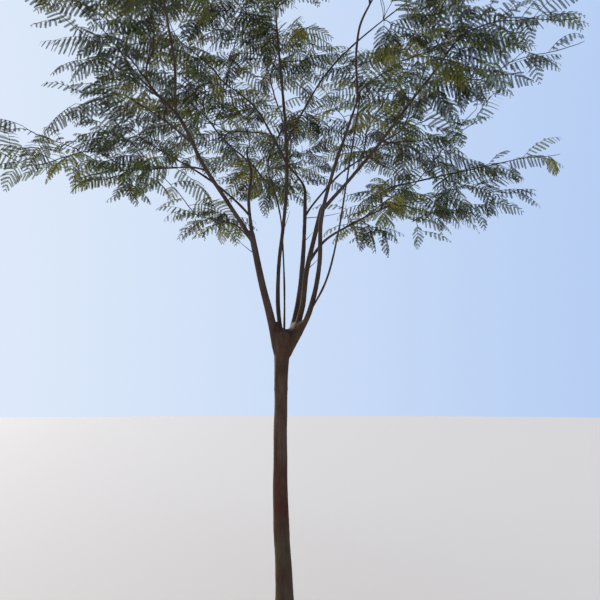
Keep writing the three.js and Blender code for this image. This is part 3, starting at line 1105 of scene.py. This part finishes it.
class Finish(Patterns):
    """A material. Its patterns lie in the tree's own frame, in metres."""

    def __init__(self, name, color, roughness, specular):
        self.material = bpy.data.materials.new(name)
        self.material.use_nodes = True
        super().__init__(self.material.node_tree)
        self.shader = self.tree.nodes["Principled BSDF"].inputs
        self.shader["Base Color"].default_value = (*color, 1)
        self.shader["Roughness"].default_value = roughness
        self.shader["Specular IOR Level"].default_value = specular
        self.place = self.node("ShaderNodeTexCoord").outputs["Object"]

    def noise(self, scale, stretch=(1, 1, 1), detail=4, roughness=0.55):
        """Noise of a scale for each metre, made finer along some axes."""
        place = self.node("ShaderNodeMapping", Vector=self.place, Scale=stretch).outputs["Vector"]
        look = {"Scale": scale, "Detail": detail, "Roughness": roughness}
        return self.node("ShaderNodeTexNoise", Vector=place, **look).outputs["Fac"]

    def mix(self, factor, one, other):
        """One colour where the factor is 0 and the other where it is 1."""
        mix = self.tree.nodes.new("ShaderNodeMix")
        mix.data_type = "RGBA"
        for place, value in ((0, factor), (6, one), (7, other)):
            self.put(mix.inputs[place], (*value, 1) if isinstance(value, tuple) else value)
        return mix.outputs[2]

    def bumps(self, heights, distance, strength):
        bump = self.node("ShaderNodeBump", Height=heights, Distance=distance, Strength=strength)
        self.put(self.shader["Normal"], bump.outputs["Normal"])


def bark_material():
    """Smooth brown bark with darker and paler mottles, upright streaks and small pale breathing pores."""
    finish = Finish("bark", color=(0.06, 0.04, 0.03), roughness=0.85, specular=0.15)
    height = finish.node("ShaderNodeSeparateXYZ", Vector=finish.place).outputs["Z"]
    mottle = finish.noise(13, stretch=(1, 1, 0.3), detail=6, roughness=0.62)
    patches = finish.noise(7, stretch=(1, 1, 0.6), detail=3)
    streaks = finish.noise(90, stretch=(1, 1, 0.12), detail=3)
    pores = finish.noise(120, stretch=(1, 1, 2.6), detail=1)
    grain = finish.noise(260, stretch=(1, 1, 0.5))
    foot = finish.between(height, *FOOT_ENDS)
    stain = finish.between(height, *STAIN_STARTS, end=finish.between(height, *STAIN_ENDS))
    limb = finish.between(height, *LIMB_HEIGHTS)
    color = finish.ramp(mottle, list(zip((0.30, 0.50, 0.70), BARK_TONES)))
    for share, other in (
        (finish.between(patches, 0.35, 0.6, end=foot), FOOT_COLOR),
        (finish.between(patches, 0.3, 0.7, end=stain), STAIN_COLOR),
        (finish.between(mottle, 0.3, 0.65, end=limb), LIMB_COLOR),
        (finish.between(streaks, 0.50, 0.72, end=0.55), STREAK_COLOR),
        (finish.between(pores, 0.64, 0.70, end=0.5), PORE_COLOR),
    ):
        color = finish.mix(share, color, other)
    finish.put(finish.shader["Base Color"], color)
    finish.put(finish.shader["Roughness"], finish.between(mottle, 0.3, 0.7, 0.92, 0.72))
    finish.bumps(finish.mix(0.5, streaks, finish.mix(0.5, grain, pores)), distance=0.003, strength=0.55)
    return finish.material


def twig_material():
    """The thin bark of twigs: brown to olive in broad mottles, with a fine grain."""
    finish = Finish("twigs", color=(0.06, 0.05, 0.035), roughness=0.75, specular=0.3)
    color = finish.ramp(finish.noise(5, detail=3), list(zip((0.35, 0.55, 0.7), TWIG_TONES)))
    grain = finish.noise(300, stretch=(1, 1, 0.4), detail=3)
    color = finish.mix(finish.between(grain, 0.45, 0.7, end=0.5), color, TWIG_GRAIN_COLOR)
    finish.put(finish.shader["Base Color"], color)
    finish.bumps(grain, distance=0.001, strength=0.4)
    return finish.material


def leaf_material(name, color):
    """A leaf's plain colour, with a slightly uneven gloss and surface."""
    finish = Finish(name, color, roughness=0.55, specular=0.15)
    grain = finish.noise(240, detail=2)
    finish.put(finish.shader["Roughness"], finish.between(grain, 0.3, 0.7, 0.42, 0.66))
    finish.bumps(grain, distance=0.0006, strength=0.3)
    return finish.material


def floor_material():
    finish = Finish("floor", FLOOR_COLOR, roughness=0.9, specular=0.2)
    finish.bumps(finish.noise(60), distance=0.002, strength=0.1)
    return finish.material


# The floor, the sky and the sun

def make_floor():
    """A wide, round floor."""
    turns = np.arange(FLOOR_SIDES) * 2 * math.pi / FLOOR_SIDES
    ring = np.column_stack([np.cos(turns), np.sin(turns), np.zeros(FLOOR_SIDES)]) * FLOOR_RADIUS
    mesh = bpy.data.meshes.new("floor")
    mesh.from_pydata(ring, [], [range(FLOOR_SIDES)])
    mesh.materials.append(floor_material())
    floor = bpy.data.objects.new("floor", mesh)
    floor.location.z = -FLOOR_DROP
    bpy.context.scene.collection.objects.link(floor)


def make_sky():
    """A bright sky that is bluer to the right."""
    world = bpy.data.worlds.new("sky")
    world.use_nodes = True
    sky = Patterns(world.node_tree)
    way = sky.node("ShaderNodeTexCoord").outputs["Generated"]
    aside = sky.node("ShaderNodeSeparateXYZ", Vector=way).outputs["X"]
    color = sky.ramp(sky.between(aside, -SKY_SPREAD, SKY_SPREAD), list(enumerate(SKY_COLORS)))
    sky.put(sky.tree.nodes["Background"].inputs["Color"], color)
    bpy.context.scene.world = world


def make_sun():
    """A low, hazy sun behind the tree, to its left."""
    data = bpy.data.lights.new("sun", "SUN")
    data.energy = SUN_POWER
    data.angle = math.radians(SUN_WIDTH)
    data.color = SUN_COLOR
    height = math.radians(SUN_HEIGHT)
    way = Vector((SUN_WAY[0] * math.cos(height), SUN_WAY[1] * math.cos(height), -math.sin(height)))
    sun = bpy.data.objects.new("sun", data)
    sun.rotation_euler = way.to_track_quat("-Z", "Y").to_euler()
    bpy.context.scene.collection.objects.link(sun)


# The pieces of the tree

def make_wood(trunk_path, trunk_reaches, lines):
    """The trunk and the stout limbs as one piece, and the slender limbs as another."""
    limbs = {node: line for node, line in lines.items() if node != "trunk"}
    stout = {node: line for node, line in limbs.items() if line.radii[0] > STOUT}
    slender = {node: line for node, line in limbs.items() if node not in stout}
    bark = bark_material()

    pile = Pile()
    pile.add(*tube(trunk_path, trunk_reaches, TRUNK_SIDES))
    for web in crotch_webs(stout.values()):
        pile.add(*web)
    for line in stout.values():
        pile.add(*limb_tube(line, LIMB_SIDES))
    mesh = one_skin(pile)
    fill_crotches(mesh)
    bark_relief(mesh)
    cut_at_ground(mesh)
    new_piece("trunk_and_limbs", mesh, bark, ["trunk", *stout])

    pile = Pile()
    for line in slender.values():
        pile.add(*limb_tube(line, SLENDER_SIDES))
    mesh = pile.mesh("slender_limbs")
    bark_relief(mesh)
    new_piece("slender_limbs", mesh, bark, slender)


def make_twigs(lines, growth, nodes):
    """Every bare twig and living shoot, as one piece."""
    twigs = [bare_twig(lines[limb], *shape) for limb, *shape in BARE_TWIGS]
    pile = Pile()
    for path, radii in [*twigs, *living_shoots(growth)]:
        pile.add(*tube(path, radii, TWIG_SIDES))
    new_piece("twigs", pile.mesh("twigs"), twig_material(), nodes)


def make_leaves(plans, nodes, random):
    """The leaves of each colour as one piece, and all their stalks as another."""
    piles = [Pile() for _ in LEAF_COLORS]
    stalks = Pile()
    for _, shade, shape in plans:
        blades, stalk = leaf(*shape, random)
        piles[shade].add(*blades)
        stalks.add(*stalk)
    for (name, color), pile in zip(LEAF_COLORS.items(), piles):
        finish = leaf_material(name, color)
        new_piece(f"leaves_{name}", pile.mesh(name), finish, nodes, smooth=False)
    finish = leaf_material("leaf_stalks", STALK_COLOR)
    new_piece("leaf_stalks", stalks.mesh("leaf_stalks"), finish, nodes)


make_camera()
make_floor()
make_sky()
make_sun()
bpy.context.scene.view_settings.view_transform = "Standard"

random = np.random.default_rng(SEED)
masses = [Mass(node) for node in sorted(frame["nodes"]) if node.endswith("_mass")]
trunk_path, trunk_reaches = trunk_line()
lines = limb_lines(Line(trunk_path, trunk_reaches.mean(axis=1)), masses)
growth = grow_branches(lines, masses, random)
leaf_plans = plan_leaves(growth, lines, masses, random)
for shoot, _, _ in leaf_plans:
    shoot.leafy = True

mass_nodes = [mass.node for mass in masses]
make_wood(trunk_path, trunk_reaches, lines)
make_twigs(lines, growth, mass_nodes)
make_leaves(leaf_plans, mass_nodes, random)
